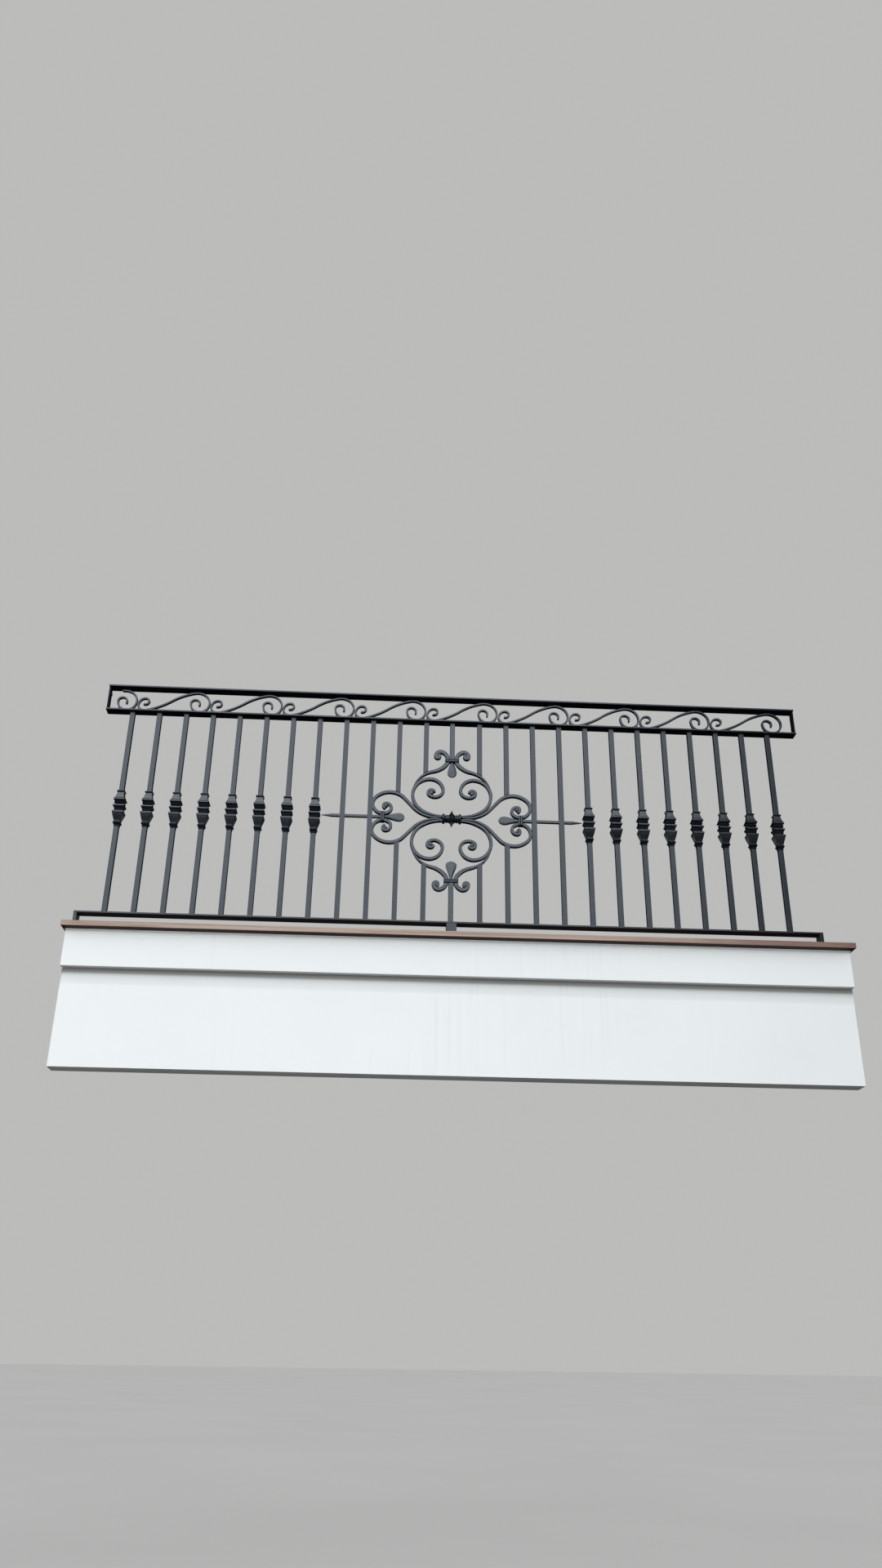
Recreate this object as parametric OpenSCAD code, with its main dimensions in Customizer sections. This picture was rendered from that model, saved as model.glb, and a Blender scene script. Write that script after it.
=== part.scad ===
// Juliet balcony: a square-bar steel guard panel with a scrolled frieze and a
// scroll medallion, standing on a hardwood sill over a boxed, painted fascia.
// Units are millimetres, Z is up, the front looks to -Y and the flat back is
// at Y = 0. X = 0 is the middle of the guard panel, Z = 0 the middle of the back.

/* [Guard panel] */
// centre to centre distance of the upright bars
picket_pitch = 101.6; // [85:0.1:125]
// side of the square upright bars
picket_w = 18; // [14:0.5:22]
// clear height between the bottom rail and the frieze rail
picket_h = 805.5; // [650:0.5:1000]
// last upright bar to the end of the rails
end_gap = 106; // [70:1:140]
// how far the rails sit to the right of the upright bars
rail_shift = 6; // [0:0.5:20]
// depth of the top rail and the frieze rail, front to back
rail_depth = 42; // [30:1:50]
// depth of the bottom rail, front to back
bottom_depth = 44; // [34:1:60]
// thickness of all three rails
rail_t = 6.5; // [5:0.5:12]
// thickness of the two end bars of the frieze
end_bar_t = 7; // [5:0.5:12]
// depth of the two end bars of the frieze
end_bar_d = 24; // [16:1:34]

/* [Frieze] */
// clear height of the frieze between its two rails
frieze_h = 95.5; // [75:0.5:125]
// air between the frieze scroll and the top rail
frieze_air = 6; // [1:0.5:10]
// thickness of the frieze scroll bar seen from the front
frieze_bar_t = 7; // [5:0.5:10]
// depth of the frieze scroll bar
frieze_bar_d = 13; // [8:0.5:20]
// left end of the panel to the first full scroll
frieze_start = 111.5; // [100:0.5:150]
// extra length of the last frieze scroll
frieze_extra = 8.5; // [0:0.5:12]

/* [Medallion] */
// depth of the medallion scroll bars
scroll_d = 16; // [12:0.5:18]
// height of the upper half against the drawn shape
upper_stretch = 0.995; // [0.94:0.005:1.08]
// height of the lower half against the drawn shape
lower_stretch = 1; // [0.92:0.005:1.06]
// middle of the medallion above the middle of the upright bars
medallion_rise = 2; // [-40:0.5:40]
// how far the medallion sits to the left of the middle
medallion_left = 2.5; // [0:0.5:10]
// length of the turned middle collar
hub_l = 70; // [60:1:80]
// radius of the pointed disc on the middle collar
hub_r = 31; // [26:0.5:36]
// height of the strap collars that bind the scroll bars
strap_l = 15; // [12:0.5:20]
// metal of the strap collars around the bars
strap_t = 3; // [2:0.5:5]
// thickness of the cross spears
spear_t = 11; // [8:0.5:12]
// widest width of the upper leaf and the side leaves
leaf_w = 34; // [26:1:38]
// widest width of the lower leaf
low_leaf_w = 40; // [30:1:44]
// thickness of the flattened leaves
leaf_t = 9; // [6:0.5:14]
// radius of the forged eyes that close the volutes
eye_r = 7; // [5:0.5:9]

/* [Knuckles] */
// overall height of the cast knuckles
knuckle_h = 142; // [110:1:170]
// width across the flanges of a knuckle
knuckle_w = 42; // [34:1:50]
// middle of the knuckle row below the middle of the medallion
knuckle_drop = 8.5; // [0:0.5:30]
// fall of the knuckle row from its left end to its right end
knuckle_fall = 9.5; // [0:0.5:20]

/* [Feet] */
// clear gap between the bottom rail and the sill
foot_h = 39.5; // [30:0.5:60]
// width of the middle foot
foot_w = 36; // [24:1:50]
// width of the two end feet
end_foot_w = 12; // [8:1:30]

/* [Sill and fascia] */
// front to back depth of the sill board
sill_depth = 140; // [125:1:180]
// thickness of the sill board
sill_t = 20; // [16:1:32]
// length of the sill board beyond both ends of the rails, added together
sill_extra = 130; // [90:1:180]
// how far the sill and fascia sit to the right of the guard panel
box_shift = 41.5; // [0:0.5:60]
// sill front edge to the middle of the upright bars
bar_setback = 54; // [45:1:70]
// overhang of the sill in front of the upper fascia band
sill_nose = 45; // [30:1:60]
// overhang of the sill past the ends of the fascia
sill_end_nose = 8; // [4:1:20]
// height of the upper fascia band
band_h = 129; // [90:1:180]
// height of the whole boxed fascia
box_h = 468; // [360:1:600]
// step from the upper band back to the lower board
band_step = 25; // [15:1:35]
// thickness of the painted boards
board_t = 19; // [15:1:24]
// width of the left return left open beside the lower board
return_lip = 5; // [2:0.5:10]
// step from the lower board back to that edge
lip_step = 6; // [2:0.5:12]

/* [Hidden] */

// levels
box_top = box_h / 2;
sill_top = box_top + sill_t;
foot_top = sill_top + foot_h;
bottom_top = foot_top + rail_t;
frieze_bottom = bottom_top + picket_h;
frieze_top = frieze_bottom + rail_t;
top_under = frieze_top + frieze_h;
low_half = picket_h / 2 + medallion_rise;
high_half = picket_h - low_half;
mid_z = bottom_top + low_half;

// widths and depths
half_len = 12 * picket_pitch + end_gap;
mid_x = -medallion_left;
bar_y = bar_setback - sill_depth;
box_half = half_len + sill_extra / 2 - sill_end_nose;
band_front = sill_nose - sill_depth;
board_front = band_front + band_step;
k = picket_pitch / 101.6;
ph = picket_w / 2;

// A scroll is a chain of arcs. Each row is radius, sweep, bar width at its end.
C_ROWS = [[139, 30, 11], [77.5, 58, 12], [66.5, 86, 12], [49, 87, 12],
  [27.5, 61, 11], [33, 77, 11], [12.5, 200, 10]];
LOBE_ROWS = [[114, 58.7, 11], [1950, -1.4, 12], [73.5, -92.2, 12], [39, -168, 12],
  [19, -150, 11], [10.5, -150, 9]];
CREST_ROWS = [[99.5, 75, 11.5], [87.5, -36.7, 15.5], [35, -107, 14.5], [18.7, -118, 13],
  [8.4, -224, 9]];
FRIEZE_ROWS = [[14.5, 200, 1], [23, 50, 1], [38, 33, 1], [26.5, 114, 1], [316, 19.85, 1],
  [227.5, -23.85, 1], [48.8, -137.8, 1], [34.5, -128, 1], [64, -15, 1], [17.5, -183, 1],
  [60, -9, 1]];

function last(v) = v[len(v) - 1];
function steps(row) = max(2, ceil(abs(row[1]) / (row[0] > 60 ? 7 : row[0] > 25 ? 9 : 15)));
function walk(p, h, c, d, dw, n) = n == 0 ? [] :
  let (q = [p[0] + c * cos(h + d / 2), p[1] + c * sin(h + d / 2), p[2] + dw])
  concat([q], walk(q, h + d, c, d, dw, n - 1));
function chain(rows, p, h, i = 0) = i == len(rows) ? [] :
  let (n = steps(rows[i]), d = rows[i][1] / n)
  let (c = 2 * rows[i][0] * abs(sin(d / 2)))
  let (w = walk(p, h, c, d, (rows[i][2] - p[2]) / n, n))
  concat(w, chain(rows, last(w), h + rows[i][1], i + 1));
function path(rows, p, h) = concat([p], chain(rows, p, h));

// points of a path mapped to the panel: s scales it, t stretches its height,
// x and z move it
function mapped(pts, s, t, x = 0, z = 0) =
  [for (p = pts) [p[0] * s + x, (p[1] * s + z) * t, p[2] * s]];
function seg_dir(a, b) = let (l = norm([b[0] - a[0], b[1] - a[1]]))
  [(b[0] - a[0]) / l, (b[1] - a[1]) / l];
function dir_at(pts, i) = let (n = len(pts))
  let (a = i == 0 ? seg_dir(pts[0], pts[1]) : seg_dir(pts[i - 1], pts[i]))
  let (b = i == n - 1 ? a : seg_dir(pts[i], pts[i + 1]))
  let (m = norm(a + b))
  (a + b) / m;
function side(pts, s) = [for (i = [0 : len(pts) - 1])
  let (d = dir_at(pts, i))
  [pts[i][0] - s * d[1] * pts[i][2] / 2, pts[i][1] + s * d[0] * pts[i][2] / 2]];
function reversed(v) = [for (i = [len(v) - 1 : -1 : 0]) v[i]];
function band(pts) = concat(side(pts, 1), reversed(side(pts, -1)));
// height and lean of a path where it first crosses the upright line x
function crossing(pts, x) = [for (i = [0 : len(pts) - 2])
  if ((pts[i][0] - x) * (pts[i + 1][0] - x) <= 0)
  let (a = (pts[i + 1][1] - pts[i][1]) / (pts[i + 1][0] - pts[i][0]))
  [pts[i][1] + a * (x - pts[i][0]), atan(a)]][0];
// eye beside the end of a path, r is positive for a left turn, e is its radius
function eye_at(pts, r, e) = let (n = len(pts))
  let (d = seg_dir(pts[n - 2], pts[n - 1]))
  [pts[n - 1][0] - r * d[1], pts[n - 1][1] + r * d[0], e];

lead_x = hub_l / 2 - 2;
c_path = mapped(path(C_ROWS, [37.4, 10, 6], -0.2), k, 1);
lobe_path = mapped(path(LOBE_ROWS, [38.1, 5.4, 6], -10), k, 1, 0, spear_t / 2 - 5.5 * k);
crest_path = mapped(path(CREST_ROWS, [147.3, 100, 2], 91.8), k, 1, ph - 9 * k);
c_bar = concat([[lead_x, c_path[0][1], c_path[0][2]]], c_path);
lobe_bar = concat([[lead_x, lobe_path[0][1] + 0.5, lobe_path[0][2]]], lobe_path);
c_eye = eye_at(c_path, 12.5 * k, (eye_r + 1.5) * k);
lobe_eye = eye_at(lobe_path, -10.5 * k, eye_r * k);
crest_eye = eye_at(crest_path, -8 * k, eye_r * k);
frieze_path = path(FRIEZE_ROWS, [25.1, 27.8, 1], -20);

// bounds of the frieze curve, so that it fills its height whatever the size
fx = [for (p = frieze_path) p[0]];
fz = [for (p = frieze_path) p[1]];
frieze_pitch = 275.9 * k;
frieze_sz = (frieze_h - frieze_air - frieze_bar_t) / (max(fz) - min(fz));
function frieze_line(l) = let (sx = (l - frieze_bar_t) / (max(fx) - min(fx)))
  [for (p = frieze_path) [(p[0] - min(fx)) * sx + frieze_bar_t / 2,
    (p[1] - min(fz)) * frieze_sz + frieze_bar_t / 2, frieze_bar_t]];

// prism of a front view drawing, middle plane at Y = 0, Z up
module slab(d) {
  rotate([90, 0, 0])
    linear_extrude(height = d, center = true)
      children();
}

module side_flip(s) {
  if (s < 0) mirror([1, 0, 0]) children();
  else children();
}

// front view drawing of one scroll bar with its eye, s = side, t = stretch
module scroll_shape(pts, eye, s, t) {
  difference() {
    union() {
      polygon([for (p = band(mapped(pts, 1, t))) [s * p[0], p[1]]]);
      translate([s * eye[0], t * eye[1]])
        circle(r = eye[2]);
    }
    square([hub_l, 2 * hub_l], center = true);
  }
}

module c_shape(s, t) {
  scroll_shape(c_bar, c_eye, s, t);
}

module lobe_shape(s, t) {
  scroll_shape(lobe_bar, lobe_eye, s, t);
}

module crest_shape(s, t) {
  scroll_shape(crest_path, crest_eye, s, t);
}

// leaf of length l and width w, fullest where t to the power f is one half
module leaf_shape(l, w, f, g) {
  n = 18;
  v = [for (i = [0 : n]) let (t = i / n)
    4.5 * pow(1 - t, 2) + (w / 2) * pow(max(sin(180 * pow(t, f)), 0), g)];
  polygon(concat([for (i = [0 : n]) [v[i], -l * i / n]],
    [for (i = [n : -1 : 0]) [-v[i], -l * i / n]]));
}

// levels of the strap collars
function crest_strap(t) = (t > 0 ? 241 : 246) * k * abs(t);
lobe_strap = 256 * k;

module at_medallion() {
  translate([mid_x, bar_y, mid_z])
    children();
}

// rails
module rail_bar(z, d) {
  translate([rail_shift - half_len, bar_y - d / 2, z])
    cube([2 * half_len, d, rail_t]);
}

module top_rail() {
  color("dimgray")
    rail_bar(top_under, rail_depth);
}

module frieze_rail() {
  color("dimgray")
    rail_bar(frieze_bottom, rail_depth);
}

module bottom_rail() {
  color("dimgray")
    rail_bar(foot_top, bottom_depth);
}

module frieze_end(s) {
  translate([rail_shift, 0, 0]) side_flip(s) {
    translate([half_len - end_bar_t, bar_y - end_bar_d / 2, frieze_top])
      cube([end_bar_t, end_bar_d, frieze_h]);
    translate([half_len - end_bar_t, bar_y - end_bar_d / 5, frieze_top + 0.68 * frieze_h])
      rotate([0, -90, 0])
        cylinder(h = 5, r = 6);
  }
}

module frieze_end_left() {
  color("dimgray")
    frieze_end(-1);
}

module frieze_end_right() {
  color("dimgray")
    frieze_end(1);
}

// frieze scrolls: ten large volutes, the first one a half scroll
frieze_x0 = rail_shift + frieze_start - half_len;

module frieze_one(i) {
  translate([frieze_x0 + (i - 1) * frieze_pitch, bar_y, frieze_top])
    slab(frieze_bar_d)
      difference() {
        polygon(band(frieze_line(frieze_pitch + (i == 9 ? frieze_extra * k : 0))));
        if (i == 0) translate([-1, -1])
          square([0.69 * frieze_pitch, frieze_h + 2]);
        if (i == 0) translate([-1, 0.75 * frieze_h])
          square([0.775 * frieze_pitch, frieze_h]);
      }
}

module frieze_scrolls_left() {
  color("dimgray")
    for (i = [0 : 4]) frieze_one(i);
}

module frieze_scrolls_right() {
  color("dimgray")
    for (i = [5 : 9]) frieze_one(i);
}

// uprights
module picket(i) {
  translate([i * picket_pitch - ph, bar_y - ph, bottom_top])
    cube([picket_w, picket_w, picket_h]);
}

module pickets_left() {
  color("slategray")
    for (i = [-12 : -5]) picket(i);
}

module pickets_right() {
  color("slategray")
    for (i = [5 : 12]) picket(i);
}

// cast knuckle: one outline seen from two sides, bored for the bar
module knuckle_outline() {
  h = knuckle_h / 2;
  w = knuckle_w / 2;
  half = [[w - 6, h], [w - 6, h - 5], [w - 8.5, h - 7], [w - 8, h - 13],
    [w - 6.5, h - 21], [w - 3.5, h - 29], [w - 0.8, h - 34.5], [w, h - 35.5],
    [w, h - 39], [w - 7, h - 41], [w - 7, h - 46], [w - 4, h - 48],
    [w - 4, h - 53], [w - 7, h - 55], [w - 7, h - 58.5], [w, h - 60]];
  low = [[w, h - 64.5], [w - 7, h - 68], [w - 7, h - 82.5], [w, h - 84.5],
    [w, h - 90], [w - 1.2, h - 92], [w - 2, h - 97], [w - 3.2, h - 103],
    [w - 4.8, h - 109], [w - 6.4, h - 115], [w - 8, h - 121.5],
    [w - 8.5, h - 125], [w - 5.5, h - 127], [w - 5.5, h - 133], [w - 7, h - 135],
    [w - 7, h - knuckle_h]];
  r = concat(half, low);
  polygon(concat(r, [for (p = reversed(r)) [-p[0], p[1]]]));
}

module knuckle(i) {
  translate([i * picket_pitch, bar_y, mid_z - knuckle_drop - knuckle_fall * i / 24])
    difference() {
      intersection() {
        slab(knuckle_w + 2)
          knuckle_outline();
        rotate([0, 0, 90])
          slab(knuckle_w + 2)
            knuckle_outline();
      }
      translate([-ph, -ph, -knuckle_h])
        cube([picket_w, picket_w, 2 * knuckle_h]);
    }
}

module knuckles_left() {
  color("dimgray")
    for (i = [-12 : -5]) knuckle(i);
}

module knuckles_right() {
  color("dimgray")
    for (i = [5 : 12]) knuckle(i);
}

// full bars beside the medallion, pierced by the spears
module pierced_picket(i) {
  difference() {
    picket(i);
    translate([i * picket_pitch - picket_w, bar_y - spear_t / 2, mid_z - spear_t / 2])
      cube([2 * picket_w, spear_t, spear_t]);
  }
}

module pierced_pickets_left() {
  color("slategray")
    for (i = [-4, -3]) pierced_picket(i);
}

module pierced_pickets_right() {
  color("slategray")
    for (i = [3, 4]) pierced_picket(i);
}

// short bars that end on the scrolls, t is the stretch, negative for below
module short_picket(s, i, t) {
  x = s * i * picket_pitch - mid_x;
  top = t > 0 ? high_half : low_half;
  c = crossing(i == 1 ? crest_path : lobe_path, abs(x));
  lean = atan(tan(c[1]) * abs(t));
  z = c[0] * abs(t);
  at_medallion()
    mirror([0, 0, t > 0 ? 0 : 1])
      slab(picket_w)
        difference() {
          translate([x - ph, z - picket_w])
            square([picket_w, top - z + picket_w]);
          translate([x, z])
            rotate(s * lean)
              translate([-2 * picket_w, -3 * picket_w])
                square([4 * picket_w, 3 * picket_w]);
          if (i == 1) crest_shape(s, abs(t));
          else lobe_shape(s, abs(t));
        }
}

module short_pickets_upper() {
  color("slategray")
    for (s = [-1, 1]) {
      short_picket(s, 1, upper_stretch);
      short_picket(s, 2, 1);
    }
}

module short_pickets_lower() {
  color("slategray")
    for (s = [-1, 1]) {
      short_picket(s, 1, -lower_stretch);
      short_picket(s, 2, -1);
    }
}

// middle bar, through the strap collar and drawn out to a leaf
module leaf_picket(t) {
  strap = crest_strap(t) - strap_l / 2;
  top = t > 0 ? high_half : low_half;
  at_medallion()
    mirror([0, 0, t > 0 ? 0 : 1]) {
      slab(picket_w)
        translate([-ph, strap])
          square([picket_w, top - strap]);
      slab(leaf_t)
        translate([0, strap])
          if (t > 0) leaf_shape(62 * k, leaf_w, 2.1, 0.5);
          else leaf_shape(70 * k, low_leaf_w, 2.8, 0.5);
    }
}

module leaf_picket_upper() {
  color("slategray")
    leaf_picket(upper_stretch);
}

module leaf_picket_lower() {
  color("slategray")
    leaf_picket(-lower_stretch);
}

// cross spear: leaf, bar through the pierced uprights, drawn point
module spear(s) {
  x0 = lobe_strap - strap_l / 2;
  x1 = 4.36 * picket_pitch - s * mid_x;
  x2 = 4.76 * picket_pitch - s * mid_x;
  at_medallion()
    side_flip(s) {
      slab(leaf_t)
        translate([x0, 0])
          rotate(-90)
            leaf_shape(75 * k, leaf_w, 2.3, 0.52);
      slab(spear_t)
        polygon([[x0, -spear_t / 2], [x1, -spear_t / 2], [x2, -1], [x2, 1],
          [x1, spear_t / 2], [x0, spear_t / 2]]);
    }
}

module leaf_spear_left() {
  color("slategray")
    spear(-1);
}

module leaf_spear_right() {
  color("slategray")
    spear(1);
}

// turned collar in the middle
module medallion_hub() {
  h = hub_l / 2;
  half = [[h, 0], [h, 17], [h - 3, 19.5], [h - 8, 19.5], [h - 10, 15],
    [h - 13, 13.5], [h - 20, 13.5], [h - 25, 16], [h - 30, 22], [2, hub_r - 2],
    [0.6, hub_r]];
  pts = concat(half, [for (p = reversed(half)) [-p[0], p[1]]]);
  color("dimgray")
    at_medallion()
      rotate([0, 90, 0])
        rotate_extrude()
          polygon([for (p = pts) [p[1], p[0]]]);
}

module c_scrolls_upper() {
  color("slategray")
    at_medallion()
      for (s = [-1, 1])
        slab(scroll_d)
          c_shape(s, upper_stretch);
}

module c_scrolls_lower() {
  color("slategray")
    at_medallion()
      for (s = [-1, 1])
        slab(scroll_d)
          c_shape(s, -lower_stretch);
}

// both lobe bars of one side, seated on the C scrolls, the spear and the upright
module lobe_pair(s) {
  at_medallion()
    for (t = [-1, 1])
      slab(scroll_d)
        difference() {
          lobe_shape(s, t);
          c_shape(s, t > 0 ? upper_stretch : -lower_stretch);
          translate([s > 0 ? 0 : -5 * picket_pitch, -spear_t / 2])
            square([5 * picket_pitch, spear_t]);
          translate([s * 3 * picket_pitch - mid_x - ph, -picket_h / 2])
            square([picket_w, picket_h]);
        }
}

module lobe_scrolls_left() {
  color("slategray")
    lobe_pair(-1);
}

module lobe_scrolls_right() {
  color("slategray")
    lobe_pair(1);
}

// crest bars, tapered on to the flank of the C scrolls
module crest_pair(t) {
  at_medallion()
    for (s = [-1, 1])
      slab(scroll_d)
        difference() {
          crest_shape(s, t);
          c_shape(s, t);
          mirror([0, t > 0 ? 0 : 1, 0])
            translate([-ph, crest_strap(t) - strap_l / 2])
              square([picket_w, picket_h]);
        }
}

module crest_scrolls_upper() {
  color("slategray")
    crest_pair(upper_stretch);
}

module crest_scrolls_lower() {
  color("slategray")
    crest_pair(-lower_stretch);
}

// strap collar with two raised beads, l along the bars, w across them
module strap(l, w) {
  d = picket_w;
  for (x = [-l / 4, l / 4])
    translate([-w / 2 - strap_t, -d / 2 - strap_t, x - l / 6])
      cube([w + 2 * strap_t, d + 2 * strap_t, l / 3]);
  translate([-w / 2 - strap_t + 1, -d / 2 - strap_t + 1, -l / 2])
    cube([w + 2 * strap_t - 2, d + 2 * strap_t - 2, l]);
}

crest_strap_w = picket_w + 2 * 14.5 * k;
lobe_strap_w = spear_t + 2 * 12.4 * k;

module strap_collar_crest(t) {
  at_medallion()
    difference() {
      translate([0, 0, (t > 0 ? 1 : -1) * crest_strap(t)])
        strap(strap_l, crest_strap_w);
      for (s = [-1, 1])
        slab(scroll_d)
          crest_shape(s, t);
      translate([-ph, -ph, -picket_h / 2])
        cube([picket_w, picket_w, picket_h]);
    }
}

module strap_collar_upper() {
  color("dimgray")
    strap_collar_crest(upper_stretch);
}

module strap_collar_lower() {
  color("dimgray")
    strap_collar_crest(-lower_stretch);
}

module strap_collar_lobe(s) {
  at_medallion()
    difference() {
      translate([s * lobe_strap, 0, 0])
        rotate([0, 90, 0])
          strap(strap_l, lobe_strap_w);
      for (t = [-1, 1])
        slab(scroll_d)
          lobe_shape(s, t);
      translate([-5 * picket_pitch, -spear_t / 2, -spear_t / 2])
        cube([10 * picket_pitch, spear_t, spear_t]);
    }
}

module strap_collar_left() {
  color("dimgray")
    strap_collar_lobe(-1);
}

module strap_collar_right() {
  color("dimgray")
    strap_collar_lobe(1);
}

// feet under the bottom rail
module foot(x, w) {
  translate([x - w / 2, bar_y - bottom_depth / 2, sill_top])
    cube([w, bottom_depth, foot_h]);
}

module foot_left() {
  color("dimgray")
    foot(rail_shift + end_foot_w / 2 - half_len, end_foot_w);
}

module foot_middle() {
  color("dimgray")
    foot(0, foot_w);
}

module foot_right() {
  color("dimgray")
    foot(rail_shift + half_len - end_foot_w / 2, end_foot_w);
}

// sill
module sill_board() {
  l = 2 * (box_half + sill_end_nose);
  color("saddlebrown")
    translate([box_shift - l / 2, -sill_depth, box_top])
      cube([l, sill_depth, sill_t]);
}

// boxed fascia
inner_half = box_half - board_t;

module header_beam() {
  d = -board_front - board_t;
  color("burlywood")
    translate([box_shift - inner_half, -d, -box_h / 2 + board_t])
      cube([2 * inner_half, d, box_h - board_t]);
}

module fascia_board() {
  color("white")
    translate([box_shift - box_half + return_lip, board_front, -box_h / 2])
      cube([2 * box_half - return_lip, board_t, box_h]);
}

module fascia_band() {
  color("white")
    translate([box_shift - box_half, band_front, box_top - band_h])
      cube([2 * box_half, band_step, band_h]);
}

module fascia_return(s) {
  d = -board_front - board_t;
  translate([box_shift + s * (box_half - board_t / 2) - board_t / 2, -d, -box_h / 2])
    cube([board_t, d, box_h]);
}

module fascia_return_left() {
  color("white") {
    fascia_return(-1);
    translate([box_shift - box_half, board_front + lip_step, -box_h / 2])
      cube([return_lip, board_t - lip_step, box_h]);
  }
}

module fascia_return_right() {
  color("white")
    fascia_return(1);
}

module soffit_board() {
  d = -board_front - board_t;
  color("white")
    translate([box_shift - inner_half, -d, -box_h / 2])
      cube([2 * inner_half, d, board_t]);
}

top_rail();
frieze_rail();
bottom_rail();
frieze_end_left();
frieze_end_right();
frieze_scrolls_left();
frieze_scrolls_right();
pickets_left();
pickets_right();
knuckles_left();
knuckles_right();
pierced_pickets_left();
pierced_pickets_right();
short_pickets_upper();
short_pickets_lower();
leaf_picket_upper();
leaf_picket_lower();
leaf_spear_left();
leaf_spear_right();
medallion_hub();
c_scrolls_upper();
c_scrolls_lower();
lobe_scrolls_left();
lobe_scrolls_right();
crest_scrolls_upper();
crest_scrolls_lower();
strap_collar_upper();
strap_collar_lower();
strap_collar_left();
strap_collar_right();
foot_left();
foot_middle();
foot_right();
sill_board();
fascia_band();
fascia_board();
fascia_return_left();
fascia_return_right();
soffit_board();
header_beam();
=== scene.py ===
import math

import bmesh
import bpy
from mathutils import Matrix, Vector


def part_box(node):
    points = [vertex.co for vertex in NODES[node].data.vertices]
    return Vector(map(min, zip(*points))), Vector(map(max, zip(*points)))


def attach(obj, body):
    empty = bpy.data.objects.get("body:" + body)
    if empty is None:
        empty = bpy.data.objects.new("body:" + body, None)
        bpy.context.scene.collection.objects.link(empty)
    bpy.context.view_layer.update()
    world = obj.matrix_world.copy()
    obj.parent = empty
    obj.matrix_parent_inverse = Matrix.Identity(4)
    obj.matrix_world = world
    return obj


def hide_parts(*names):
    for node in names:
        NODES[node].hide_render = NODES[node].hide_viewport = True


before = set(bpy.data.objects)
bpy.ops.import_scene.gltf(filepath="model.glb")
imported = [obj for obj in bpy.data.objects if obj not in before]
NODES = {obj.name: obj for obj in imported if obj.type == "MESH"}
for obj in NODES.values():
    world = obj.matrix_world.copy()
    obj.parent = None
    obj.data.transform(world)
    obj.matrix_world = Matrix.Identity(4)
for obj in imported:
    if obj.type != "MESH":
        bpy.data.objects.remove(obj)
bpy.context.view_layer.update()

SCENE = bpy.context.scene
MM = 1000

# Sizes in millimetres, as in the model
PITCH = 101.6
BAR = 18.0
SCROLL_D = 16.0
SPEAR, LEAF_T, EYE_R = 11.0, 9.0, 7.0
HUB_L, HUB_R = 70.0, 31.0
KNUCKLE_H, KNUCKLE_W = 142.0, 42.0
KNUCKLE_DROP, KNUCKLE_FALL = 8.5, 9.5
FRIEZE_T, FRIEZE_D, FRIEZE_START, FRIEZE_AIR, FRIEZE_EXTRA = 7.0, 13.0, 111.5, 6.0, 8.5
FRIEZE_PITCH = 2.71555 * PITCH

# How far the upper and lower half of the medallion are stretched
UPPER, LOWER = 0.995, 1.0

# Strap collars: length, metal, way from the middle, width over the bars they hold
STRAP_L, STRAP_T = 15.0, 3.0
UPPER_STRAP, LOWER_STRAP, SIDE_STRAP = 241.0 * UPPER, -246.0 * LOWER, 256.0
CREST_GRIP, LOBE_GRIP = BAR + 29, SPEAR + 24.8


def mm_box(node):
    low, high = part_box(node)
    return [v * MM for v in low], [v * MM for v in high]


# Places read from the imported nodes, in millimetres but for the ledge of the fascia
rail_low, rail_high = mm_box("bottom_rail")
frieze_low, frieze_high = mm_box("frieze_rail")
hub_low, hub_high = mm_box("medallion_hub")
RAIL_LEFT = rail_low[0]
BAR_Y = (rail_low[1] + rail_high[1]) / 2
BOTTOM_TOP = rail_high[2]
FRIEZE_BOTTOM, FRIEZE_TOP = frieze_low[2], frieze_high[2]
TOP_UNDER = mm_box("top_rail")[0][2]
MID_X = (hub_low[0] + hub_high[0]) / 2
MID_Z = (hub_low[2] + hub_high[2]) / 2
MID = (MID_X, BAR_Y, MID_Z)
LEDGE = mm_box("fascia_band")[0][2] / MM

# Camera where the photograph was taken from: pixels, degrees and metres
PICTURE_SIZE, FOCAL_PIXELS, SENSOR = 1920, 1442, 36
VIEW_TURN = (-2.519, 25.850, 0.866)
VIEW_PLACE = (-0.218, -4.055, -1.077)


def place_camera():
    data = bpy.data.cameras.new("view_camera")
    data.lens = SENSOR * FOCAL_PIXELS / PICTURE_SIZE
    data.sensor_width = SENSOR
    data.clip_start = 0.05
    data.clip_end = 300
    cam = bpy.data.objects.new("view_camera", data)
    SCENE.collection.objects.link(cam)
    yaw, pitch, roll = (math.radians(a) for a in VIEW_TURN)
    turn = Matrix.Rotation(yaw, 3, "Z")
    forward = turn @ Vector((0, math.cos(pitch), math.sin(pitch)))
    up = turn @ Vector((0, -math.sin(pitch), math.cos(pitch)))
    right = turn @ Vector((1, 0, 0))
    right, up = (math.cos(roll) * right + math.sin(roll) * up,
                 -math.sin(roll) * right + math.cos(roll) * up)
    m = Matrix((right, up, -forward)).transposed().to_4x4()
    m.translation = Vector(VIEW_PLACE)
    cam.matrix_world = m
    SCENE.camera = cam


place_camera()


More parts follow.
